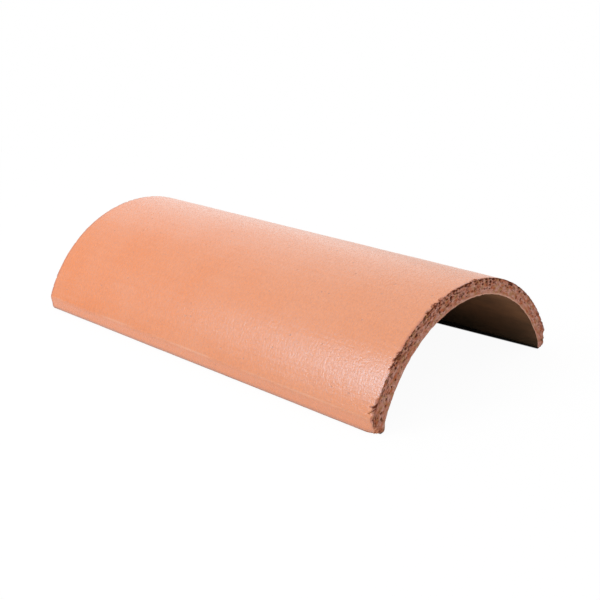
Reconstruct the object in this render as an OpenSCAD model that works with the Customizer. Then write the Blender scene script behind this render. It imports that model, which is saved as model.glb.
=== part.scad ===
// Barrel clay roof tile: one arched length of extruded, fired clay, wire cut square at both ends.
// Millimetres. X runs along the tile, Y across it and Z up; the tile lies on its two long feet, with the
// origin on the floor under the middle of the tile.

/* [Tile] */
// Length between the two cut ends
tile_length = 400; // [300:1:500]
// Overall width, across the arrises of the two edge bands
tile_width = 215; // [180:1:250]
// Height of the crown above the feet
tile_height = 84; // [70:1:96]
// Thickness of the arched wall
wall = 13; // [9:0.5:16]

/* [Edge bands] */
// Height of the band along each long edge, from the foot to its arris
band_height = 13; // [10:0.5:18]
// Height of the upright part of the band, above which it slopes out to the arris
upright_height = 6.5; // [5:0.5:8]
// How far the arris stands out past the upright part
arris_lip = 1; // [0.5:0.1:2]
// Height of the upright heel inside each foot, up to where the hollow starts to curve
heel_height = 6.5; // [4:0.5:9]
// Rounding of the outer corner of each foot
foot_radius = 3.5; // [1:0.5:5]
// Rounding of the inner corner of each foot
heel_radius = 1.5; // [0.5:0.5:3]

/* [Hidden] */
$fn = 96;
clay = "#E8A37F";

// A cut reaches this far past the surface that it opens
overcut = 1;
// Half the width, at the arris and at the upright part of the band
arris_y = tile_width / 2;
band_y = arris_y - arris_lip;
// How far the band's slope leans out for each millimetre that it rises
band_slope = arris_lip / (band_height - upright_height);
// The arch is one arc through the crown and both arrises: its rise above them, its radius and the height
// of its centre
arch_rise = tile_height - band_height;
arch_radius = (pow(arris_y, 2) + pow(arch_rise, 2)) / (2 * arch_rise);
arch_centre = tile_height - arch_radius;
// The hollow's arc has the same centre, and half its width at the top of the heels is where they stand
hollow_radius = arch_radius - wall;
heel_y = sqrt(pow(hollow_radius, 2) - pow(heel_height - arch_centre, 2));

// The outside of the section: the arch's disc, cut off along the bands
module outside_outline() {
    intersection() {
        translate([0, arch_centre]) circle(r = arch_radius);
        polygon([
            [-band_y, 0],
            [band_y, 0],
            [band_y, upright_height],
            [arris_y + band_slope * overcut, band_height + overcut],
            [arris_y + overcut, tile_height + overcut],
            [-arris_y - overcut, tile_height + overcut],
            [-arris_y - band_slope * overcut, band_height + overcut],
            [-band_y, upright_height]
        ]);
    }
}

// The hollow under the arch: the smaller disc, cut off upright at the heels
module hollow_outline() {
    intersection() {
        translate([0, arch_centre]) circle(r = hollow_radius);
        polygon([
            [-heel_y, -overcut],
            [heel_y, -overcut],
            [heel_y, tile_height],
            [-heel_y, tile_height]
        ]);
    }
}

// What rounding takes off a square corner at the origin whose material lies towards +X and +Y
module corner_waste(radius) {
    difference() {
        translate([-overcut, -overcut]) square(radius + overcut);
        translate([radius, radius]) circle(r = radius);
    }
}

// The rounding of both corners of the foot on the +X side of the section
module foot_waste() {
    translate([band_y, 0]) mirror([1, 0]) corner_waste(foot_radius);
    translate([heel_y, 0]) corner_waste(heel_radius);
}

// The cross-section, with its width along X and its height along Y
module section() {
    difference() {
        outside_outline();
        hollow_outline();
        foot_waste();
        mirror([1, 0]) foot_waste();
    }
}

module barrel_tile() {
    color(clay)
        rotate([90, 0, 90])
            translate([0, 0, -tile_length / 2])
                linear_extrude(height = tile_length) section();
}

barrel_tile();
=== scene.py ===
"""The looks of a barrel clay roof tile: one fired piece, smooth outside and torn at its wire-cut ends."""

import math
from collections import namedtuple

import bpy
import numpy as np
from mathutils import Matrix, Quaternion, Vector, noise


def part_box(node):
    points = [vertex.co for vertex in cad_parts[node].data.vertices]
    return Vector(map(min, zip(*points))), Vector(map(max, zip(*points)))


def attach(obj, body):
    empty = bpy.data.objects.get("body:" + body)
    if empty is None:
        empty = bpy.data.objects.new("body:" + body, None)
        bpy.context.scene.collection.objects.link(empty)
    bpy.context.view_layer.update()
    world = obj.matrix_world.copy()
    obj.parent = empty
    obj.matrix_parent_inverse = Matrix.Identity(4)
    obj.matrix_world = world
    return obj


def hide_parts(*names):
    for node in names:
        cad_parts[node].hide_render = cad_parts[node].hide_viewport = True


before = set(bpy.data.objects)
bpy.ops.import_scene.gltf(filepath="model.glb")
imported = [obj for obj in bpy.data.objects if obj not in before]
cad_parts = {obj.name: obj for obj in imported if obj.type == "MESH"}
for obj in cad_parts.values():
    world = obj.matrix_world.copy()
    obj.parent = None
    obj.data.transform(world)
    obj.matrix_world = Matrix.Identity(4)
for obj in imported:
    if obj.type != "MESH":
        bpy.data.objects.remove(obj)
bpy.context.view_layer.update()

MM = 0.001
NODE = "barrel_tile"
BODY = "root"

# The tile's box stands over the origin, so its high corner holds these sizes
HALF_LENGTH, HALF_WIDTH, TILE_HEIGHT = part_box(NODE)[1]

# Section of the tile, as in the part's source
WALL = 13 * MM
BAND_HEIGHT = 13 * MM
UPRIGHT_HEIGHT = 6.5 * MM
ARRIS_LIP = 1 * MM
HEEL_HEIGHT = 6.5 * MM
FOOT_RADIUS = 3.5 * MM
HEEL_RADIUS = 1.5 * MM

# Cells over half the outside, over half the hollow, which has as many, and through the wall
FOOT_CELLS = 12
UPRIGHT_CELLS = 8
SLOPE_CELLS = 12
ARCH_CELLS = 268
HEEL_ROUND_CELLS = 4
HEEL_CELLS = 12
HOLLOW_CELLS = FOOT_CELLS + UPRIGHT_CELLS + SLOPE_CELLS + ARCH_CELLS - HEEL_ROUND_CELLS - HEEL_CELLS
WALL_CELLS = 28

# Rings of cells along the tile: close together at the ends and coarse between them
END_ROWS = 12
FIRST_ROW = 0.45 * MM
ROW_GROWTH = 1.15
MIDDLE_ROWS = 64

# A coarse ring keeps one in so many places of a fine one, more on the feet and all near the arrises
COARSE_STEP = 4
FOOT_STEP = 2
ARRIS_REACH = 2 * MM

# How often the section's points, and all points' normals, are averaged with their neighbours
SOFTEN_PASSES = 10
NORMAL_PASSES = 5

# How fast the octaves of noise weaken, and how much finer each is than the last
FRACTAL_INCREMENT = 1.0
LACUNARITY = 2.0

# The core of the die stood a little to the right
CORE_SHIFT = 1.2 * MM

# The uneven burr that the wire pushed into the hollow, and its reach along the tile and across the wall
BURR_HEIGHT = 0.5 * MM
BURR_MEAN = 0.5
BURR_SIZE = 9 * MM
BURR_OCTAVES = 3
BURR_REACH = 1.5 * MM
BURR_SHARE = 0.30

# The corner of the left foot at the near end was rubbed round before firing
RUB_DEPTH = 2.6 * MM
RUB_REACH = 10 * MM

# Slow waves in the skin, and lines that the die drew along it
SKIN_OCTAVES = 2
WAVE_DEPTH = 0.10 * MM
WAVE_SIZE = 40 * MM
DIE_LINE_DEPTH = 0.03 * MM
DIE_LINE_SIZE = 7 * MM
DIE_LINE_SQUEEZE = (0.03, 1, 1)

# Grain of the cut ends, and the share of the wall round the hollow where it fades to a smoother rim
CUT_DEPTH = 0.28 * MM
CUT_SIZE = 4.5 * MM
CUT_OCTAVES = 4
RIM_SHARE = 0.11
RIM_GRAIN = 0.2

# The two ends, each one's seed, and what share of the strewn chips its outer edge has
FAR_END = -1
NEAR_END = 1
END_SEEDS = {FAR_END: 11, NEAR_END: 29}
EDGE_WEAR = {FAR_END: 0.1, NEAR_END: 1.0}

# What the cutting wire tore out of an end, as parts of ellipsoids. Their middles lie from an edge across
# a spread of the wall, of which 0 is the hollow's edge and 1 the outer one. Their half heights across the
# wall are in millimetres, and stretch, reach and depth are shares of them along the arch, along the tile
# and down. Slant is how far they run on towards the foot for each millimetre away from the end, and shade
# is how dark they look.
Tears = namedtuple("Tears", "count edge spread radius stretch reach depth slant shade")
STREWN_TEARS = [
    Tears(260, 1, -0.95, (0.30, 0.50), (1.0, 2.2), (1.0, 1.2), (0.8, 1.2), (0, 0), 1.0),
    Tears(130, 1, -0.80, (0.40, 0.65), (1.8, 3.6), (0.8, 1.2), (0.9, 1.4), (0, 0), 1.0),
    Tears(110, 1, -0.70, (0.60, 1.10), (0.9, 1.8), (0.8, 1.2), (0.9, 1.2), (0, 0), 1.0),
    Tears(16, 0, 0.0, (0.30, 0.60), (1.0, 2.5), (0.5, 1.0), (0.3, 0.6), (0, 0), 1.0),
]
EDGE_CHIPS = Tears(80, 1, 0.0, (0.50, 1.00), (1.0, 2.6), (0.5, 1.5), (0.2, 0.4), (0.0, 0.4), 0.5)
DRAG_STROKES = Tears(2, 1, 0.0, (0.70, 1.00), (0.8, 1.3), (0.6, 1.0), (0.3, 0.5), (0.2, 1.4), 1.0)

# No tear reaches further than this from an end
TEAR_REACH = 13 * MM

# Powers that crowd strewn tears towards their edge and towards one foot
EDGE_BIAS = 1.7
SIDE_BIAS = 1.25

# Where along the arch from that foot tears are darkest, and how much shade they lose by the other foot
WORST_PLACE = 0.4
SIDE_EASE = 0.6

# Strokes that the wire dragged out of the skin: degrees from the crown, and reach in millimetres
Drag = namedtuple("Drag", "angle reach")
DRAGS = [
    Drag(-70, 3.5),
    Drag(-67, 3.0),
    Drag(-62.5, 6.0),
    Drag(-61, 4.0),
    Drag(-47, 3.5),
    Drag(-44, 3.0),
    Drag(-41.5, 2.5),
    Drag(-21.5, 3.0),
    Drag(-19, 3.5),
    Drag(-15.5, 2.5),
]
DRAG_SPREAD = 0.8

# The larger pits: degrees from the crown, share of the wall, half height in millimetres and stretch
Pit = namedtuple("Pit", "angle share radius stretch")
PITS = [
    Pit(-66, 0.28, 1.0, 1.4),
    Pit(-64, 0.45, 0.9, 1.2),
    Pit(-61.5, 1.00, 1.4, 1.3),
    Pit(-61, 0.25, 0.9, 1.6),
    Pit(-58.5, 0.35, 1.0, 1.3),
    Pit(-56, 0.30, 0.8, 1.3),
    Pit(-53.5, 0.30, 0.9, 1.2),
    Pit(-50.5, 0.25, 0.9, 1.4),
    Pit(-47, 0.70, 0.8, 1.8),
    Pit(-46.5, 1.00, 1.4, 1.4),
    Pit(-44, 1.00, 1.1, 1.3),
    Pit(-39, 0.75, 0.9, 1.6),
    Pit(-23, 0.96, 1.5, 1.3),
    Pit(-19, 1.00, 1.7, 1.2),
    Pit(-17.5, 0.36, 1.0, 1.0),
    Pit(-17, 0.60, 1.1, 1.0),
    Pit(-16.5, 0.90, 1.3, 1.0),
    Pit(-10, 0.70, 1.2, 1.5),
    Pit(-8, 0.95, 1.0, 2.0),
    Pit(-4.5, 0.92, 1.1, 1.4),
    Pit(-2, 0.44, 0.8, 1.0),
    Pit(-1, 0.86, 0.9, 2.0),
    Pit(0, 0.40, 0.8, 1.0),
    Pit(2, 0.93, 1.1, 1.6),
    Pit(5, 0.95, 1.4, 1.2),
    Pit(5.5, 0.72, 1.0, 1.0),
    Pit(8, 0.90, 1.0, 1.8),
    Pit(10, 0.64, 1.0, 1.5),
    Pit(12, 0.93, 1.2, 1.6),
    Pit(15, 0.75, 1.3, 1.2),
    Pit(16.5, 0.92, 1.3, 1.6),
    Pit(21, 0.90, 1.1, 1.2),
    Pit(30, 0.84, 1.2, 1.6),
    Pit(37, 0.74, 1.0, 1.4),
    Pit(40, 0.44, 1.1, 1.0),
    Pit(56, 0.60, 0.8, 1.2),
]
PIT_REACH = 1.1
PIT_DEPTH = 1.0

# Chips out of the near end's edges, from the lower left to the right-hand band: degrees from the crown,
# millimetres out from the hollow, and then sizes as for the tears
Chip = namedtuple("Chip", "angle out radius stretch reach depth")
CHIPS = [
    Chip(-67, 13.0, 2.2, 1.6, 1.3, 0.4),
    Chip(-63.5, 13.0, 2.4, 1.4, 1.5, 0.4),
    Chip(-60.5, 13.0, 2.0, 1.6, 1.3, 0.4),
    Chip(-22.5, 13.0, 2.0, 1.4, 1.4, 0.5),
    Chip(-19, 13.0, 2.4, 1.3, 1.4, 0.5),
    Chip(-15, 13.0, 2.0, 1.4, 1.3, 0.5),
    Chip(5, 13.0, 2.4, 1.6, 1.3, 0.5),
    Chip(68.5, 12.2, 2.2, 1.4, 1.6, 0.9),
]
CHIP_SHADE = 0.35

# How torn the skin is where it counts as part of the cut
TORN_LIMIT = 0.12

# How high the painted shade along the bottom edge covers the feet
FOOT_SHADE_HEIGHT = 2.5 * MM

# Colours, linear
CLAY_FAR = (0.845, 0.238, 0.046, 1)
CLAY_NEAR = (0.820, 0.279, 0.094, 1)
CLAY_PALE = (0.870, 0.385, 0.220, 1)
CUT_PALE = (0.640, 0.345, 0.280, 1)
CUT_DEEP = (0.470, 0.130, 0.055, 1)
CUT_OLIVE = (0.430, 0.225, 0.095, 1)
RIM_PALE = (0.740, 0.430, 0.320, 1)
# Dark clay, also used as painted shade in pits and along the cut's outer edge
PIT_CLAY_AND_SHADE = (0.115, 0.028, 0.013, 1)
SPECK_CLAY = (0.250, 0.080, 0.040, 1)
# The hollow's colours are painted shade: clay darker than the outside's, going to near black low down
HOLLOW_SHADED_CLAY = (0.440, 0.198, 0.094, 1)
HOLLOW_PAINTED_SHADE = (0.020, 0.027, 0.019, 1)
# Painted shade along the bottom edge and on the feet's undersides
FOOT_SHADE = (0.300, 0.130, 0.075, 1)
FOOT_PALE = (0.750, 0.300, 0.150, 1)
# The band's colour is painted warmer, as the band looks when it catches less sheen than the flank
BAND_CLAY = (0.900, 0.310, 0.120, 1)
# A painted highlight along the arris
ARRIS_HIGHLIGHT = (0.900, 0.450, 0.270, 1)
BLOOM = (0.310, 0.740, 1.000, 1)
WHITE = (1, 1, 1, 1)

# Marks in the clay, as noise. Squeeze multiplies distances along the tile, round the arch and outwards,
# so a value under 1 draws the marks out that way.
Marks = namedtuple("Marks", "size detail squeeze roughness", defaults=[(1, 1, 1), 0.55])
SKIN_MOTTLE = Marks(38 * MM, 4)
SKIN_LINES = Marks(3.5 * MM, 2, (0.04, 1, 1))
SKIN_RIPPLES = Marks(2.1 * MM, 3, (1, 0.42, 1))
SKIN_GRAIN = Marks(1.2 * MM, 2)
CUT_CRUMBS = Marks(2.2 * MM, 4, (1, 0.40, 1), 0.6)
CUT_STROKES = Marks(1.8 * MM, 3, (1, 0.55, 1), 0.6)
CUT_PATCHES = Marks(3 * MM, 2)
CUT_GRAIN = Marks(0.8 * MM, 3)
HOLLOW_MOTTLE = Marks(24 * MM, 3, (0.6, 1, 1))
HOLLOW_LINES = Marks(4 * MM, 3, (0.05, 1, 1))
FOOT_PATCHES = Marks(6 * MM, 4)
DULL_GRAIN = Marks(1 * MM, 3)

# Small dark dots, one to a chosen cell: the cells' size, the share of them that is chosen, and the dots'
# radius as a share of a cell. Their core, where they are darkest, is a share of that radius.
Specks = namedtuple("Specks", "cell share radius")
DOTS = Specks(13 * MM, 0.25, 0.07)
FLECKS = Specks(5 * MM, 0.35, 0.10)
SPECK_CORE = 0.3

# A value that goes from low to high while the one that it follows goes from start to end
Ramp = namedtuple("Ramp", "start end low high", defaults=[0, 1])

# Most of a noise lies in this span
NOISE_SPAN = (0.3, 0.7)
NOISE_RAMP = Ramp(*NOISE_SPAN)

# The skin: its colour along the tile, its paler clouds and lines, darker grain and dots, and gloss
FLASH_WANDER = Ramp(*NOISE_SPAN, -30 * MM, 30 * MM)
FLASH = Ramp(-200 * MM, 120 * MM)
CLOUD_TINT = Ramp(*NOISE_SPAN, 0, 0.18)
LINE_TINT = Ramp(*NOISE_SPAN, 0, 0.12)
GRAIN_TINT = Ramp(0.38, 0.70, 0, 0.25)
FLECK_TINT = 0.35
DOT_TINT = 0.50
SKIN_TORN = Ramp(0.02, 0.25)
SKIN_ROUGHNESS = Ramp(0.7, 1.3, 0.17, 0.37)
SKIN_IOR = 1.54
SKIN_SPECULAR = 1.0
RIPPLE_WEIGHT = 1.3
SKIN_BUMP = 0.17 * MM

# Along the foot: the band painted warmer and painted shade low down, by height, and a painted highlight
# along the arris, by distance and in patches
BAND_TINT = Ramp(BAND_HEIGHT, 0.7 * BAND_HEIGHT, 0, 0.6)
FOOT_SHADE_TINT = Ramp(2 * FOOT_SHADE_HEIGHT, FOOT_SHADE_HEIGHT, 0, 0.35)
ARRIS_HIGHLIGHT_REACH = Ramp(1.2 * MM, 0.36 * MM)
ARRIS_HIGHLIGHT_PATCHES = Ramp(0.42, 0.60, 0.05, 0.42)

# The redder line in the skin beside the cuts, by distance along the tile and in patches
EDGE_LINE = Ramp(HALF_LENGTH - 3 * MM, HALF_LENGTH - 1 * MM)
EDGE_PATCHES = Ramp(0.35, 0.65, 0.2, 0.9)

# The cut: its crumbs and olive patches, its dark strokes by share of the wall and by distance from where
# they are worst on the arch, painted shade on its outer edge by share and by place on the arch, and its
# pits
CRUMB_TINT = Ramp(0.36, 0.64)
OLIVE_TINT = Ramp(0.50, 0.66, 0, 0.7)
STROKE_TINT = Ramp(0.48, 0.60)
STROKES_BY_SHARE = Ramp(0.1, 0.8, 0.25, 0.9)
WORST_ARCH = -20 * MM
STROKES_BY_ARCH = Ramp(90 * MM, 20 * MM, 0.4, 1)
SHADED_EDGE_BY_SHARE = Ramp(0.88, 1)
SHADED_EDGE_BY_ARCH = Ramp(20 * MM, 60 * MM, 0, 0.6)
PIT_TINT = Ramp(0.15, 0.7)
CUT_SPECULAR = 0.04
CUT_BUMP = 0.30 * MM

# The paler rim round the hollow, by share of the wall and round the arch, and the rubbed corner
RIM_BY_SHARE = Ramp(RIM_SHARE, 0.4 * RIM_SHARE)
RIM_BY_ARCH = Ramp(-50 * MM, 20 * MM, 0.1, 0.65)
RUB_TINT = Ramp(0.25, 0.5, 0, 0.85)

# The hollow: its clouds, its lines and its painted shade, which darkens it towards the feet
HOLLOW_CLOUDS = Ramp(*NOISE_SPAN, 0.38, 0.76)
HOLLOW_LINE_TINT = Ramp(*NOISE_SPAN, 0, 0.06)
SHADE_BY_HEIGHT = Ramp(0, 5 * HEEL_HEIGHT, 0.15, 1.1)
HOLLOW_BUMP = 0.12 * MM

# Dull clay, and the relief of the feet's undersides
DULL_ROUGHNESS = Ramp(*NOISE_SPAN, 0.85, 0.97)
DULL_SPECULAR = 0.1
FOOT_BUMP = 0.15 * MM

# Camera, at the photograph's viewing angle
CAMERA_PLACE = (0.6412, -0.6071, 0.3500)
CAMERA_TARGET = (0.0473, -0.0228, 0.0420)
CAMERA_ROLL = math.radians(-2.387)
CAMERA_LENS = 64.47
CAMERA_SENSOR = 36

# Lamps, and the sky's light from the horizon upwards
LAMP_TARGET = (0.02, -0.05, 0.04)
KEY_PLACE = (-0.42, -1.05, 0.87)
KEY_SIZE = 0.70
KEY_POWER = 6.6
BACK_PLACE = (-1.00, 0.66, 0.45)
BACK_SIZE = 1.2
BACK_POWER = 1.25
SKY_LIGHT = Ramp(0, 1, 0.33, 1.14)

# The floor: half its width, its shade from the open to the painted dark, how much of it glows white by
# distance from the tile's middle, and how the dark painted under the tile as its shade fades towards the
# tile's outline
FLOOR_HALF = 6
FLOOR_SHADE = Ramp(0, 1, 0.80, 0.04)
FLOOR_GLOW = Ramp(0.35, 0.90, 0.95, 1)
UNDER_FADE = Ramp(1, 0.85)

# The painted shadow beside the heels: how far out it starts by distance along the tile, how soft its edge
# is, and how far under the feet it goes
SHADOW_START = Ramp(0, HALF_LENGTH, 84 * MM, 97 * MM)
SHADOW_EDGE = Ramp(-0.6 * MM, 0.6 * MM)
SHADOW_REACH = 100 * MM

# Sockets of a mix node that hold colours
MIX_ONE = 6
MIX_OTHER = 7
MIX_RESULT = 2


def line(start, end, cells):
    """Points from start to just short of end."""
    share = np.arange(cells)[:, None] / cells
    return (1 - share) * np.array(start) + share * np.array(end)


def arc(centre, radius, start, end, cells):
    """Points of an arc from its start angle to just short of its end angle."""
    angle = start + (end - start) * np.arange(cells) / cells
    return np.column_stack([centre[0] + radius * np.cos(angle), centre[1] + radius * np.sin(angle)])


def mirrored(half, crown):
    """A left half, its crown and its mirror image."""
    return np.vstack([half, [[0, crown]], half[::-1] * (-1, 1)])


def softened(path):
    """The path with its corners rounded, as drying and firing leave them."""
    for _ in range(SOFTEN_PASSES):
        path[1:-1] = (path[:-2] + 2 * path[1:-1] + path[2:]) / 4
    return path


class Section:
    """The tile's cross-section, with its width along y and its height along z."""

    def __init__(self):
        self.band_y = HALF_WIDTH - ARRIS_LIP
        rise = TILE_HEIGHT - BAND_HEIGHT
        self.arch_radius = (HALF_WIDTH ** 2 + rise ** 2) / (2 * rise)
        self.centre = TILE_HEIGHT - self.arch_radius
        self.hollow_radius = self.arch_radius - WALL
        self.heel_y = math.sqrt(self.hollow_radius ** 2 - (HEEL_HEIGHT - self.centre) ** 2)
        self.middle = (self.arch_radius + self.hollow_radius) / 2

    def arch(self, radius, side, level, cells):
        """The arc of that radius from a point at that side and level up to the crown."""
        start = math.atan2(level - self.centre, -side)
        return arc((0, self.centre), radius, start, math.pi / 2, cells)

    def outside(self):
        """The outside, from the left foot over the crown to the right foot."""
        turn = (FOOT_RADIUS - self.band_y, FOOT_RADIUS)
        upright_top = (-self.band_y, UPRIGHT_HEIGHT)
        half = [
            arc(turn, FOOT_RADIUS, -math.pi / 2, -math.pi, FOOT_CELLS),
            line((-self.band_y, FOOT_RADIUS), upright_top, UPRIGHT_CELLS),
            line(upright_top, (-HALF_WIDTH, BAND_HEIGHT), SLOPE_CELLS),
            self.arch(self.arch_radius, HALF_WIDTH, BAND_HEIGHT, ARCH_CELLS),
        ]
        return softened(mirrored(np.vstack(half), TILE_HEIGHT))

    def hollow(self):
        """The wall of the hollow, from the left heel over to the right heel."""
        turn = (-self.heel_y - HEEL_RADIUS, HEEL_RADIUS)
        half = [
            arc(turn, HEEL_RADIUS, -math.pi / 2, 0, HEEL_ROUND_CELLS),
            line((-self.heel_y, HEEL_RADIUS), (-self.heel_y, HEEL_HEIGHT), HEEL_CELLS),
            self.arch(self.hollow_radius, self.heel_y, HEEL_HEIGHT, HOLLOW_CELLS),
        ]
        return softened(mirrored(np.vstack(half), TILE_HEIGHT - WALL)) + (CORE_SHIFT, 0)

    def grid(self):
        """Points all over the section: along the arch, and across the wall from the hollow outwards."""
        share = np.linspace(0, 1, WALL_CELLS + 1)[None, :, None]
        return (1 - share) * self.hollow()[:, None] + share * self.outside()[:, None]

    def round_arch(self, degrees):
        """The distance round the arch of a place that many degrees from the crown."""
        return math.radians(degrees) * self.middle

    def flow(self, points):
        """Each point's distance along the tile, round the arch and out from the hollow."""
        rise = points[:, 2] - self.centre
        round_arch = np.arctan2(points[:, 1], rise) * self.middle
        outwards = np.hypot(points[:, 1], rise) - self.hollow_radius
        return np.column_stack([points[:, 0], round_arch, outwards])


def ring_order(along, across):
    """Grid places round the section: over the outside, under the right foot, back by the hollow."""
    over = [(i, across) for i in range(along + 1)]
    right = [(along, j) for j in range(across - 1, 0, -1)]
    back = [(i, 0) for i in range(along, -1, -1)]
    left = [(0, j) for j in range(1, across)]
    return np.array(over + right + back + left)


def coarse_places(ring, order):
    """Places that a coarse ring keeps of a fine one: more of them round the arrises and the feet."""
    place = np.arange(len(ring))
    at_arris = (order[:, 1] == WALL_CELLS) & (np.abs(ring[:, 1] - BAND_HEIGHT) < ARRIS_REACH)
    at_foot = (ring[:, 1] < FOOT_RADIUS) & (place % FOOT_STEP == 0)
    return place[(place % COARSE_STEP == 0) | at_arris | at_foot]


def quads_between(near, far):
    """Faces between two rings of one count, the second further along the tile."""
    return np.column_stack([near, far, np.roll(far, -1), np.roll(near, -1)])


def fans_between(fine, coarse, kept):
    """Triangles between a fine ring and the coarse one that comes after it along the tile."""
    faces = []
    for place, first in enumerate(kept):
        last = kept[place + 1] if place + 1 < len(kept) else len(fine)
        here, there = coarse[place], coarse[(place + 1) % len(coarse)]
        ids = [fine[i % len(fine)] for i in range(first, last + 1)]
        half = (last - first) // 2
        faces += [(ids[i], here if i < half else there, ids[i + 1]) for i in range(last - first)]
        faces.append((ids[half], here, there))
    return np.array(faces)


class TileMesh:
    """The tile's points and faces, without relief: rings of cells along it and a grid over each end."""

    def __init__(self, section):
        self.section = section
        self.grid = section.grid()
        self.order = ring_order(self.grid.shape[0] - 1, WALL_CELLS)
        self.ring = self.grid[self.order[:, 0], self.order[:, 1]]
        self.kept = coarse_places(self.ring, self.order)
        self.points = np.empty((0, 3))
        self.across = np.empty(0)
        self.faces = []
        self.cut_faces = 0
        first, last = self.add_sleeve()
        self.add_end(-HALF_LENGTH, first, flip=True)
        self.add_end(HALF_LENGTH, last, flip=False)

    def add_points(self, x, section_points, across):
        """Adds points at one place along the tile and returns their numbers."""
        first = len(self.points)
        new = np.column_stack([np.full(len(section_points), x), section_points])
        self.points = np.vstack([self.points, new])
        self.across = np.concatenate([self.across, across / WALL_CELLS])
        return first + np.arange(len(section_points))

    def add_ring(self, x, places):
        return self.add_points(x, self.ring[places], self.order[places, 1])

    def add_sleeve(self):
        """Adds the outside, the feet and the hollow, and returns the first and the last ring."""
        rows = np.arange(END_ROWS + 1)
        offsets = FIRST_ROW * (ROW_GROWTH ** rows - 1) / (ROW_GROWTH - 1)
        fine_x = HALF_LENGTH - offsets[:-1]
        middle_x = HALF_LENGTH - offsets[-1]
        every = np.arange(len(self.ring))
        start = [self.add_ring(-x, every) for x in fine_x]
        middle = [self.add_ring(x, self.kept) for x in np.linspace(-middle_x, middle_x, MIDDLE_ROWS + 1)]
        end = [self.add_ring(x, every) for x in fine_x[::-1]]
        for rings in (start, middle, end):
            for near, far in zip(rings, rings[1:]):
                self.faces += quads_between(near, far).tolist()
        self.faces += fans_between(start[-1], middle[0], self.kept).tolist()
        self.faces += fans_between(end[0], middle[-1], self.kept)[:, ::-1].tolist()
        return start[0], end[-1]

    def add_end(self, x, ring_ids, flip):
        """Adds a cut end over a ring that is there already."""
        along = self.grid.shape[0] - 1
        i, j = (a.ravel() for a in np.mgrid[1:along, 1:WALL_CELLS])
        ids = np.zeros(self.grid.shape[:2], int)
        ids[self.order[:, 0], self.order[:, 1]] = ring_ids
        ids[i, j] = self.add_points(x, self.grid[i, j], j)
        corners = [ids[:-1, :-1], ids[1:, :-1], ids[1:, 1:], ids[:-1, 1:]]
        quads = np.stack(corners, -1).reshape(-1, 4)
        self.faces += (quads[:, ::-1] if flip else quads).tolist()
        self.cut_faces += len(quads)


def fractal(places, size, octaves, seed=0):
    """Noise from about -1 to 1 at each place, with forms of that size."""
    move = Vector((seed, seed, seed))
    kind = (FRACTAL_INCREMENT, LACUNARITY, octaves)
    return np.array([noise.fractal(Vector(place) / size + move, *kind) for place in places])


def skin_relief(flow):
    """Depths of the slow waves of the skin and of the lines that the die drew along it."""
    waves = WAVE_DEPTH * fractal(flow, WAVE_SIZE, SKIN_OCTAVES)
    lines = DIE_LINE_DEPTH * fractal(flow * DIE_LINE_SQUEEZE, DIE_LINE_SIZE, SKIN_OCTAVES)
    depth = waves + lines
    return depth - depth.min()


def cut_relief(flow, across, end):
    """Depths of the grain of a cut end, which fades towards the smoother rim round its hollow."""
    grain = CUT_DEPTH * (1 + fractal(flow, CUT_SIZE, CUT_OCTAVES, END_SEEDS[end]))
    return np.maximum(grain, 0) * np.clip(across / RIM_SHARE, RIM_GRAIN, 1)


class Tear:
    """One hollow torn into an end: its middle round the arch and across the wall, and its half sizes."""

    def __init__(self, arch, out, radius, stretch, reach, depth, slant=0, shade=1):
        self.arch = arch
        self.out = out
        self.radius = radius * MM
        self.long = self.radius * stretch
        self.reach = self.radius * reach
        self.depth = self.radius * depth
        self.slant = slant * math.copysign(1, arch)
        self.shade = shade


def drawn_tear(kind, rng, arch, out):
    """A tear of that kind with sizes drawn from its ranges."""
    spans = (kind.radius, kind.stretch, kind.reach, kind.depth, kind.slant)
    return Tear(arch, out, *(rng.uniform(*span) for span in spans), kind.shade)


def strewn_tears(kind, rng, tile, end):
    """Tears of one kind all over an end, more of them towards one foot and towards the kind's edge."""
    tears = []
    wear = EDGE_WEAR[end] if kind is EDGE_CHIPS else 1
    for _ in range(int(kind.count * wear)):
        place = rng.random() ** SIDE_BIAS
        row = int((place if end == NEAR_END else 1 - place) * (len(tile.grid) - 1))
        share = kind.edge + kind.spread * rng.random() ** EDGE_BIAS
        spot = tile.grid[row, round(share * WALL_CELLS)]
        _, arch, out = tile.section.flow(np.array([[0, *spot]]))[0]
        tear = drawn_tear(kind, rng, arch, out)
        tear.shade *= 1 - SIDE_EASE * abs(place - WORST_PLACE) / (1 - WORST_PLACE)
        tears.append(tear)
    return tears


def drag_strokes(rng, section, end):
    """The strokes that the wire dragged out of the skin at an end."""
    strokes = []
    for drag in DRAGS:
        for _ in range(DRAG_STROKES.count):
            angle = end * drag.angle + rng.uniform(-DRAG_SPREAD, DRAG_SPREAD)
            stroke = drawn_tear(DRAG_STROKES, rng, section.round_arch(angle), WALL)
            stroke.reach = drag.reach * MM * rng.uniform(*DRAG_STROKES.reach)
            strokes.append(stroke)
    return strokes


def placed_tears(section, end):
    """The larger pits of an end, and the chips out of the near one's edges."""
    tears = []
    for pit in PITS:
        arch = section.round_arch(end * pit.angle)
        tears.append(Tear(arch, pit.share * WALL, pit.radius, pit.stretch, PIT_REACH, PIT_DEPTH))
    for chip in CHIPS if end == NEAR_END else ():
        sizes = (chip.radius, chip.stretch, chip.reach, chip.depth)
        tears.append(Tear(section.round_arch(chip.angle), chip.out * MM, *sizes, shade=CHIP_SHADE))
    return tears


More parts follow.
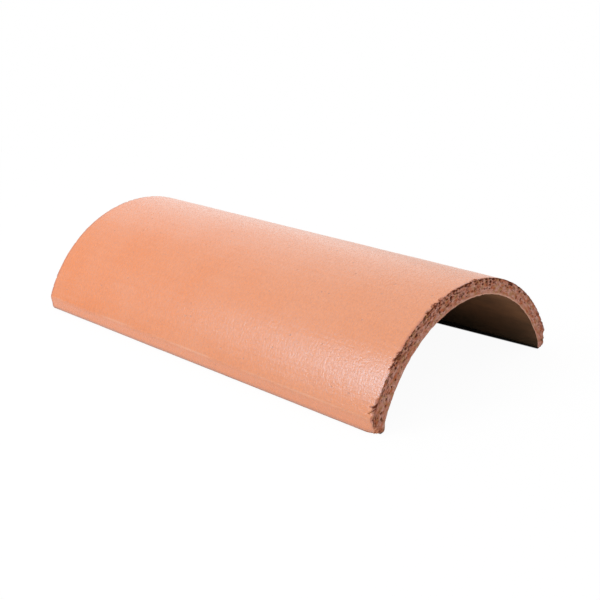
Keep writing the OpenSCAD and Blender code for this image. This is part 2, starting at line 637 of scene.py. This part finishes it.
def carve(tears, flow, from_end):
    """Depths that tears add to an end's points, and how torn each point is."""
    depth, torn = np.zeros(len(flow)), np.zeros(len(flow))
    by_arch = np.argsort(flow[:, 1])
    arch_places = flow[by_arch, 1]
    for tear in tears:
        span = tear.long + abs(tear.slant) * tear.reach
        first, last = np.searchsorted(arch_places, (tear.arch - span, tear.arch + span))
        near = by_arch[first:last]
        run_on = tear.slant * np.maximum(from_end[near], 0)
        round_arch = (flow[near, 1] - tear.arch - run_on) / tear.long
        along_tile = from_end[near] / tear.reach
        across_wall = (flow[near, 2] - tear.out) / tear.radius
        gap = round_arch ** 2 + along_tile ** 2 + across_wall ** 2
        bowl = np.sqrt(np.clip(1 - gap, 0, 1))
        depth[near] = np.maximum(depth[near], tear.depth * bowl)
        torn[near] = np.maximum(torn[near], tear.shade * bowl)
    return depth, torn


def add_burr(tile, flow, from_end, end):
    """Pushes the hollow's edge at an end a little into the hollow, unevenly."""
    places = flow[:, 1:2] * (0, 1, 0)
    unevenness = BURR_MEAN + fractal(places, BURR_SIZE, BURR_OCTAVES, END_SEEDS[end])
    height = BURR_HEIGHT * np.clip(unevenness, 0, 1)
    height *= np.exp(-np.maximum(from_end, 0) / BURR_REACH) * np.clip(1 - tile.across / BURR_SHARE, 0, 1)
    height *= np.clip(tile.points[:, 2] / HEEL_HEIGHT, 0, 1)
    outwards = tile.points * (0, 1, 1) - (0, 0, tile.section.centre)
    tile.points -= outwards / np.linalg.norm(outwards, axis=1, keepdims=True) * height[:, None]


def rubbed_corner(tile):
    """How far each point is rubbed down at the corner of the left foot, from 0 to 1 at the corner."""
    corner = (HALF_LENGTH, -tile.section.band_y, 0)
    distance = np.linalg.norm(tile.points - corner, axis=1)
    return np.clip(1 - distance / RUB_REACH, 0, 1)


def tear_end(tile, end, flow, depth, torn):
    """Adds an end's grain and tears to the points' depths and to how torn they are, and raises its burr."""
    rng = np.random.default_rng(END_SEEDS[end])
    from_end = HALF_LENGTH - end * tile.points[:, 0]
    near = np.flatnonzero(from_end < TEAR_REACH)
    face = np.flatnonzero(from_end <= 0)
    depth[face] += cut_relief(flow[face], tile.across[face], end)
    for kind in (*STREWN_TEARS, EDGE_CHIPS):
        new_depth, new_torn = carve(strewn_tears(kind, rng, tile, end), flow[near], from_end[near])
        depth[near] += new_depth
        torn[near] = np.maximum(torn[near], new_torn)
    placed = drag_strokes(rng, tile.section, end) + placed_tears(tile.section, end)
    new_depth, new_torn = carve(placed, flow[near], from_end[near])
    depth[near] = np.maximum(depth[near], new_depth)
    torn[near] = np.maximum(torn[near], new_torn)
    add_burr(tile, flow, from_end, end)


def add_relief(tile, normals, rubbed):
    """The tile's points, moved below the plain surface, and how torn each of them is."""
    flow = tile.section.flow(tile.points)
    depth = skin_relief(flow) + RUB_DEPTH * rubbed ** 2
    torn = np.zeros(len(depth))
    for end in (FAR_END, NEAR_END):
        tear_end(tile, end, flow, depth, torn)
    return tile.points - normals * depth[:, None], torn * (1 - rubbed)


def smoothed_normals(mesh):
    """The points' normals, turned gradually round every edge."""
    normals = np.empty(len(mesh.vertices) * 3)
    mesh.vertex_normals.foreach_get("vector", normals)
    normals = normals.reshape(-1, 3)
    pairs = np.empty(len(mesh.edges) * 2, int)
    mesh.edges.foreach_get("vertices", pairs)
    one, other = pairs.reshape(-1, 2).T
    for _ in range(NORMAL_PASSES):
        total = normals.copy()
        np.add.at(total, one, normals[other])
        np.add.at(total, other, normals[one])
        normals = total / np.linalg.norm(total, axis=1, keepdims=True)
    return normals


def add_attribute(mesh, name, kind, values):
    field = "vector" if kind == "FLOAT_VECTOR" else "value"
    mesh.attributes.new(name, kind, "POINT").data.foreach_set(field, np.ravel(values).astype(np.float32))


def face_kinds(tile, torn):
    """Each face's material: the outside skin, the cut and torn ends, the hollow or the feet with their
    painted shade.
    """
    skin, cut, hollow, foot = range(4)
    sides = len(tile.faces) - tile.cut_faces
    kinds = []
    for face in tile.faces[:sides]:
        outside = foot if max(tile.points[face, 2]) < FOOT_SHADE_HEIGHT else skin
        outside = cut if max(torn[face]) > TORN_LIMIT else outside
        kinds.append(hollow if max(tile.across[face]) == 0 else outside)
    return kinds + [cut] * tile.cut_faces


def make_tile():
    """The tile as one closed mesh."""
    tile = TileMesh(Section())
    mesh = bpy.data.meshes.new("clay_tile")
    mesh.from_pydata(tile.points.tolist(), [], tile.faces)
    rubbed = rubbed_corner(tile)
    points, torn = add_relief(tile, smoothed_normals(mesh), rubbed)
    mesh.vertices.foreach_set("co", points.ravel())
    add_attribute(mesh, "flow", "FLOAT_VECTOR", tile.section.flow(points))
    add_attribute(mesh, "across", "FLOAT", tile.across)
    add_attribute(mesh, "torn", "FLOAT", torn)
    add_attribute(mesh, "rubbed", "FLOAT", rubbed)
    mesh.polygons.foreach_set("material_index", face_kinds(tile, torn))
    mesh.polygons.foreach_set("use_smooth", [True] * len(mesh.polygons))
    mesh.update()
    for material in (skin_material(), cut_material(), hollow_material(), foot_material()):
        mesh.materials.append(material)
    piece = bpy.data.objects.new("clay_tile", mesh)
    bpy.context.scene.collection.objects.link(piece)
    return piece


class Graph:
    """A node tree with short ways to add the nodes that the materials use."""

    def __init__(self, tree):
        self.tree = tree
        tree.nodes.clear()

    def add(self, kind, inputs, **settings):
        """Adds a node. Its inputs are values or other nodes' outputs, by socket name or number."""
        node = self.tree.nodes.new(kind)
        for name, value in settings.items():
            setattr(node, name, value)
        for socket, value in inputs.items():
            if isinstance(value, bpy.types.NodeSocket):
                self.tree.links.new(value, node.inputs[socket])
            else:
                node.inputs[socket].default_value = value
        return node

    def attribute(self, name, output="Fac"):
        return self.add("ShaderNodeAttribute", {}, attribute_name=name).outputs[output]

    def place(self):
        """The place of the point that is shaded."""
        return self.add("ShaderNodeNewGeometry", {}).outputs["Position"]

    def part(self, vector, axis):
        return self.add("ShaderNodeSeparateXYZ", {0: vector}).outputs[axis]

    def marks(self, vector, kind):
        """Noise with the form of those marks."""
        squeezed = self.add("ShaderNodeVectorMath", {0: vector, 1: kind.squeeze}, operation="MULTIPLY")
        return self.add("ShaderNodeTexNoise", {
            "Vector": squeezed.outputs[0],
            "Scale": 1 / kind.size,
            "Detail": kind.detail,
            "Roughness": kind.roughness,
        }).outputs["Fac"]

    def ramp(self, value, kind):
        return self.add("ShaderNodeMapRange", {
            "Value": value,
            "From Min": kind.start,
            "From Max": kind.end,
            "To Min": kind.low,
            "To Max": kind.high,
        }).outputs["Result"]

    def maths(self, operation, one, other=0):
        return self.add("ShaderNodeMath", {0: one, 1: other}, operation=operation).outputs[0]

    def plus(self, one, other):
        return self.maths("ADD", one, other)

    def times(self, one, other):
        return self.maths("MULTIPLY", one, other)

    def mix(self, factor, one, other):
        """A colour that goes from one to the other."""
        inputs = {"Factor": factor, MIX_ONE: one, MIX_OTHER: other}
        return self.add("ShaderNodeMix", inputs, data_type="RGBA").outputs[MIX_RESULT]

    def bump(self, height, distance):
        return self.add("ShaderNodeBump", {"Height": height, "Distance": distance}).outputs["Normal"]

    def mix_shaders(self, factor, one, other):
        return self.add("ShaderNodeMixShader", {"Fac": factor, 1: one, 2: other}).outputs[0]

    def output(self, shader):
        self.add("ShaderNodeOutputMaterial", {"Surface": shader})

    def output_clay(self, inputs):
        """Shows the surface with a principled shader that has those inputs."""
        self.output(self.add("ShaderNodeBsdfPrincipled", inputs).outputs[0])


def new_material(name):
    material = bpy.data.materials.new(name)
    material.use_nodes = True
    return material, Graph(material.node_tree)


def specks(graph, flow, kind):
    """1 inside the small dots that are strewn over the surface, one to a chosen cell."""
    inputs = {"Vector": flow, "Scale": 1 / kind.cell}
    cells = graph.add("ShaderNodeTexVoronoi", inputs, voronoi_dimensions="2D").outputs
    chosen = graph.maths("GREATER_THAN", cells["Color"], 1 - kind.share)
    dots = graph.ramp(cells["Distance"], Ramp(kind.radius, SPECK_CORE * kind.radius))
    return graph.times(dots, chosen)


def torn_clay(graph, flow):
    """The colour and height of clay that the wire tore: paler crumbs with dark strokes between them, pits
    darkened partly as painted shade, and painted shade on the outer edge.
    """
    share = graph.attribute("across")
    round_arch = graph.part(flow, "Y")
    crumbs = graph.marks(flow, CUT_CRUMBS)
    strokes = graph.marks(flow, CUT_STROKES)
    patches = graph.marks(flow, CUT_PATCHES)
    colour = graph.mix(graph.ramp(crumbs, CRUMB_TINT), CUT_DEEP, CUT_PALE)
    colour = graph.mix(graph.ramp(patches, OLIVE_TINT), colour, CUT_OLIVE)
    from_worst = graph.maths("ABSOLUTE", graph.maths("SUBTRACT", round_arch, WORST_ARCH))
    darkness = graph.times(graph.ramp(strokes, STROKE_TINT), graph.ramp(share, STROKES_BY_SHARE))
    darkness = graph.times(darkness, graph.ramp(from_worst, STROKES_BY_ARCH))
    # Painted shade along the cut's outer edge, stronger on the right-hand side
    edge = graph.times(graph.ramp(share, SHADED_EDGE_BY_SHARE), graph.ramp(round_arch, SHADED_EDGE_BY_ARCH))
    # Pits are darkened, partly as the clay's own colour and partly as painted shade in their hollows
    pits_and_shade = graph.ramp(graph.attribute("torn"), PIT_TINT)
    for tint in (darkness, edge, pits_and_shade):
        colour = graph.mix(tint, colour, PIT_CLAY_AND_SHADE)
    return colour, graph.maths("SUBTRACT", crumbs, graph.ramp(strokes, NOISE_RAMP))


def fired_colour(graph, flow, mottle, lines):
    """The skin's colour from the far end to the near one, with paler clouds and lines."""
    flash = graph.plus(graph.part(flow, "X"), graph.ramp(mottle, FLASH_WANDER))
    colour = graph.mix(graph.ramp(flash, FLASH), CLAY_FAR, CLAY_NEAR)
    paler = graph.plus(graph.ramp(mottle, CLOUD_TINT), graph.ramp(lines, LINE_TINT))
    return graph.mix(paler, colour, CLAY_PALE)


def along_foot(graph, colour, mottle):
    """The skin's colour with the band painted warmer for its lesser sheen, a painted highlight along the
    arris and painted shade low down.
    """
    level = graph.part(graph.place(), "Z")
    from_arris = graph.maths("ABSOLUTE", graph.maths("SUBTRACT", level, BAND_HEIGHT))
    arris_highlight = graph.times(graph.ramp(from_arris, ARRIS_HIGHLIGHT_REACH), graph.ramp(mottle, ARRIS_HIGHLIGHT_PATCHES))
    # The band painted warmer, as it looks with less sheen on it
    colour = graph.mix(graph.ramp(level, BAND_TINT), colour, BAND_CLAY)
    colour = graph.mix(arris_highlight, colour, ARRIS_HIGHLIGHT)
    # Painted shade low down on the skin, above the feet
    return graph.mix(graph.ramp(level, FOOT_SHADE_TINT), colour, FOOT_SHADE)


def beside_cut(graph, flow, ripples):
    """How much the skin takes the cut's darker red, in an uneven line along the edges of the ends."""
    along = graph.maths("ABSOLUTE", graph.part(flow, "X"))
    return graph.times(graph.ramp(along, EDGE_LINE), graph.ramp(ripples, EDGE_PATCHES))


def skin_material():
    """The smooth outside: salmon clay with die lines, cross ripples, faint clouds and a few dots."""
    material, graph = new_material("clay_skin")
    flow = graph.attribute("flow", "Vector")
    torn = graph.ramp(graph.attribute("torn"), SKIN_TORN)
    mottle = graph.marks(flow, SKIN_MOTTLE)
    lines = graph.marks(flow, SKIN_LINES)
    ripples = graph.marks(flow, SKIN_RIPPLES)
    grain = graph.marks(flow, SKIN_GRAIN)
    dots = specks(graph, flow, DOTS)
    flecks = specks(graph, flow, FLECKS)

    colour = fired_colour(graph, flow, mottle, lines)
    tints = (graph.ramp(grain, GRAIN_TINT), graph.times(flecks, FLECK_TINT), graph.times(dots, DOT_TINT))
    for tint in tints:
        colour = graph.mix(tint, colour, SPECK_CLAY)
    colour = along_foot(graph, colour, mottle)
    colour = graph.mix(beside_cut(graph, flow, ripples), colour, CUT_DEEP)
    colour = graph.mix(torn, colour, torn_clay(graph, flow)[0])
    roughness = graph.ramp(graph.plus(grain, ripples), SKIN_ROUGHNESS)
    texture = graph.plus(graph.plus(grain, graph.times(ripples, RIPPLE_WEIGHT)), lines)
    graph.output_clay({
        "Base Color": colour,
        "Roughness": graph.maths("MAXIMUM", roughness, torn),
        "IOR": SKIN_IOR,
        "Specular IOR Level": SKIN_SPECULAR,
        "Specular Tint": BLOOM,
        "Normal": graph.bump(graph.maths("SUBTRACT", texture, dots), SKIN_BUMP),
    })
    return material


def cut_material():
    """The torn ends: dull, grainy clay with a paler rim round the hollow and one rubbed corner."""
    material, graph = new_material("clay_cut")
    flow = graph.attribute("flow", "Vector")
    rim = graph.ramp(graph.attribute("across"), RIM_BY_SHARE)
    rim = graph.times(rim, graph.ramp(graph.part(flow, "Y"), RIM_BY_ARCH))
    colour, height = torn_clay(graph, flow)
    colour = graph.mix(rim, colour, RIM_PALE)
    colour = graph.mix(graph.ramp(graph.attribute("rubbed"), RUB_TINT), colour, CLAY_PALE)
    graph.output_clay({
        "Base Color": colour,
        "Roughness": graph.ramp(graph.marks(flow, CUT_GRAIN), DULL_ROUGHNESS),
        "Specular IOR Level": CUT_SPECULAR,
        "Normal": graph.bump(height, CUT_BUMP),
    })
    return material


def hollow_material():
    """The inside of the arch: clay painted dark as shade, darker still towards the feet, with soft clouds
    and faint lines drawn along it.
    """
    material, graph = new_material("clay_hollow")
    flow = graph.attribute("flow", "Vector")
    mottle = graph.marks(flow, HOLLOW_MOTTLE)
    lines = graph.marks(flow, HOLLOW_LINES)
    grain = graph.marks(flow, DULL_GRAIN)
    tone = graph.plus(graph.ramp(mottle, HOLLOW_CLOUDS), graph.ramp(lines, HOLLOW_LINE_TINT))
    tone_and_shade = graph.times(tone, graph.ramp(graph.part(graph.place(), "Z"), SHADE_BY_HEIGHT))
    graph.output_clay({
        "Base Color": graph.mix(tone_and_shade, HOLLOW_PAINTED_SHADE, HOLLOW_SHADED_CLAY),
        "Roughness": graph.ramp(grain, DULL_ROUGHNESS),
        "Specular IOR Level": DULL_SPECULAR,
        "Normal": graph.bump(graph.plus(grain, lines), HOLLOW_BUMP),
    })
    return material


def foot_material():
    """The undersides of the feet: dull clay painted dark in patches, as shade along the bottom edge."""
    material, graph = new_material("clay_foot")
    flow = graph.attribute("flow", "Vector")
    patches = graph.marks(flow, FOOT_PATCHES)
    grain = graph.marks(flow, DULL_GRAIN)
    graph.output_clay({
        "Base Color": graph.mix(graph.ramp(patches, NOISE_RAMP), FOOT_SHADE, FOOT_PALE),
        "Roughness": graph.ramp(grain, DULL_ROUGHNESS),
        "Specular IOR Level": DULL_SPECULAR,
        "Normal": graph.bump(grain, FOOT_BUMP),
    })
    return material


def seen_rays(graph):
    """1 for rays that show a surface as background, from the camera or in a reflection."""
    path = graph.add("ShaderNodeLightPath", {}).outputs
    return graph.maths("MAXIMUM", path["Is Camera Ray"], path["Is Glossy Ray"])


def painted_dark_under_tile(graph, along, out):
    """1 on the floor inside the hollow, where it is painted dark as shade, fading out at the heels and at
    the open ends.
    """
    along_share = graph.maths("DIVIDE", along, HALF_LENGTH)
    out_share = graph.maths("DIVIDE", out, HALF_WIDTH)
    return graph.ramp(graph.maths("MAXIMUM", along_share, out_share), UNDER_FADE)


def painted_shadow_beside_heels(graph, along, out):
    """1 on the floor in the painted shadow beside the heels, which narrows towards the open ends."""
    past_start = graph.maths("SUBTRACT", out, graph.ramp(along, SHADOW_START))
    inside = graph.ramp(past_start, SHADOW_EDGE)
    inside = graph.times(inside, graph.maths("LESS_THAN", out, SHADOW_REACH))
    return graph.times(inside, graph.maths("LESS_THAN", along, HALF_LENGTH))


def floor_material():
    """White to the eye, with the tile's shadow on it, a painted shadow beside the heels, and painted dark
    as shade under the tile, where it would light the hollow.
    """
    material, graph = new_material("floor")
    place = graph.place()
    along, out = (graph.maths("ABSOLUTE", graph.part(place, axis)) for axis in "XY")
    distance = graph.add("ShaderNodeVectorMath", {0: place}, operation="LENGTH").outputs["Value"]
    painted_shadow = painted_shadow_beside_heels(graph, along, out)
    # Under the tile the floor is painted dark as shade, so that it does not light the hollow
    painted_dark = graph.maths("MAXIMUM", painted_dark_under_tile(graph, along, out), painted_shadow)
    dull = graph.add("ShaderNodeBsdfDiffuse", {"Color": graph.ramp(painted_dark, FLOOR_SHADE)}).outputs[0]
    white = graph.add("ShaderNodeBsdfDiffuse", {"Color": WHITE}).outputs[0]
    glow = graph.add("ShaderNodeEmission", {"Color": WHITE, "Strength": 1}).outputs[0]
    pale = graph.mix_shaders(graph.ramp(distance, FLOOR_GLOW), white, glow)
    # Camera and glossy rays see the dull, dark floor in the painted shadow beside the heels
    seen = graph.times(seen_rays(graph), graph.maths("SUBTRACT", 1, painted_shadow))
    graph.output(graph.mix_shaders(seen, dull, pale))
    return material


def make_floor():
    mesh = bpy.data.meshes.new("floor")
    corners = [(x * FLOOR_HALF, y * FLOOR_HALF, 0) for x, y in ((-1, -1), (1, -1), (1, 1), (-1, 1))]
    mesh.from_pydata(corners, [], [(0, 1, 2, 3)])
    mesh.materials.append(floor_material())
    floor = bpy.data.objects.new("floor", mesh)
    bpy.context.scene.collection.objects.link(floor)
    return floor


def make_world():
    """White where it shows, and otherwise a light that is dimmest along the horizon."""
    world = bpy.data.worlds.new("studio")
    world.use_nodes = True
    graph = Graph(world.node_tree)
    way = graph.add("ShaderNodeTexCoord", {}).outputs["Generated"]
    light = graph.ramp(graph.part(way, "Z"), SKY_LIGHT)
    strength = graph.maths("MAXIMUM", light, seen_rays(graph))
    background = graph.add("ShaderNodeBackground", {"Color": WHITE, "Strength": strength})
    graph.add("ShaderNodeOutputWorld", {"Surface": background.outputs[0]})
    bpy.context.scene.world = world


def aim(thing, place, target):
    """Puts a lamp or camera at a place, looking at a target with its top upwards."""
    thing.location = place
    thing.rotation_mode = "QUATERNION"
    thing.rotation_quaternion = (Vector(target) - Vector(place)).to_track_quat("-Z", "Y")


def make_lamp(name, place, size, power):
    """A round, soft lamp that shines on the tile."""
    data = bpy.data.lights.new(name, "AREA")
    data.shape = "DISK"
    data.size = size
    data.energy = power
    lamp = bpy.data.objects.new(name, data)
    aim(lamp, place, LAMP_TARGET)
    bpy.context.scene.collection.objects.link(lamp)


def make_camera():
    data = bpy.data.cameras.new("camera")
    data.sensor_width = CAMERA_SENSOR
    data.lens = CAMERA_LENS
    camera = bpy.data.objects.new("camera", data)
    aim(camera, CAMERA_PLACE, CAMERA_TARGET)
    camera.rotation_quaternion @= Quaternion((0, 0, 1), CAMERA_ROLL)
    bpy.context.scene.collection.objects.link(camera)
    bpy.context.scene.camera = camera


bpy.context.scene.view_settings.view_transform = "Standard"
make_camera()
make_world()
make_lamp("key", KEY_PLACE, KEY_SIZE, KEY_POWER)
make_lamp("back", BACK_PLACE, BACK_SIZE, BACK_POWER)
make_floor()
tile = make_tile()
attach(tile, BODY)
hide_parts(NODE)
